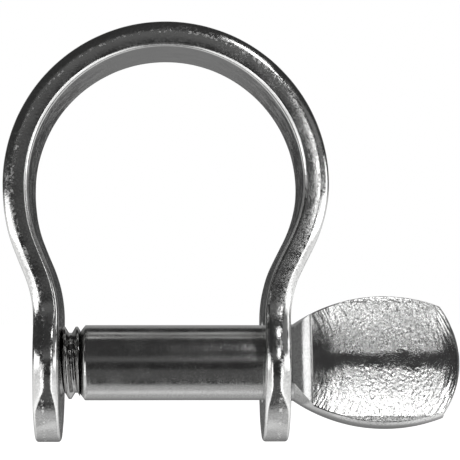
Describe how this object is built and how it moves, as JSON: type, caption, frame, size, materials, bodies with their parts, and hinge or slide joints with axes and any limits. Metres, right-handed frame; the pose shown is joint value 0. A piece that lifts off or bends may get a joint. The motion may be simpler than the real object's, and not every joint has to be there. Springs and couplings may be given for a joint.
{
  "type": "bow shackle",
  "caption": "Bow shackle bent from flat stainless strip with round ears, closed by a screw pin with a flattened thumb tab.",
  "frame": {"origin": "on the pin's axis, half way between the two ears", "axes": "+X along the pin towards its thumb tab, +Z from the pin up to the crown of the bow, Y across the strip's width"},
  "size_m": [0.029, 0.01, 0.0262],
  "materials": {
    "tumbled_strip": "tumble polished stainless strip",
    "cut_thread": "cut thread, bright",
    "turned_bar": "fine turned stainless bar",
    "coined_tab": "pressed face with fine pebbled texture"
  },
  "bodies": {
    "bow": {"bow": "tumbled_strip"},
    "pin_sliding": {"pin_shank": "turned_bar"},
    "pin_turning": {"pin_thread": "cut_thread", "pin_tab": "coined_tab"}
  },
  "joints": [
    {"name": "pin_travel", "type": "slide", "parent": "bow", "child": "pin_sliding", "axis": [1, 0, 0], "range_m": [0, 0.0264]},
    {"name": "pin_turn", "type": "hinge", "parent": "pin_sliding", "child": "pin_turning", "pos_m": [0, 0, 0], "axis": [1, 0, 0], "range_deg": [0, 11880]}
  ],
  "couplings": [
    {"joint": "pin_turn", "follows": "pin_travel", "rad_per_m": 7854}
  ]
}
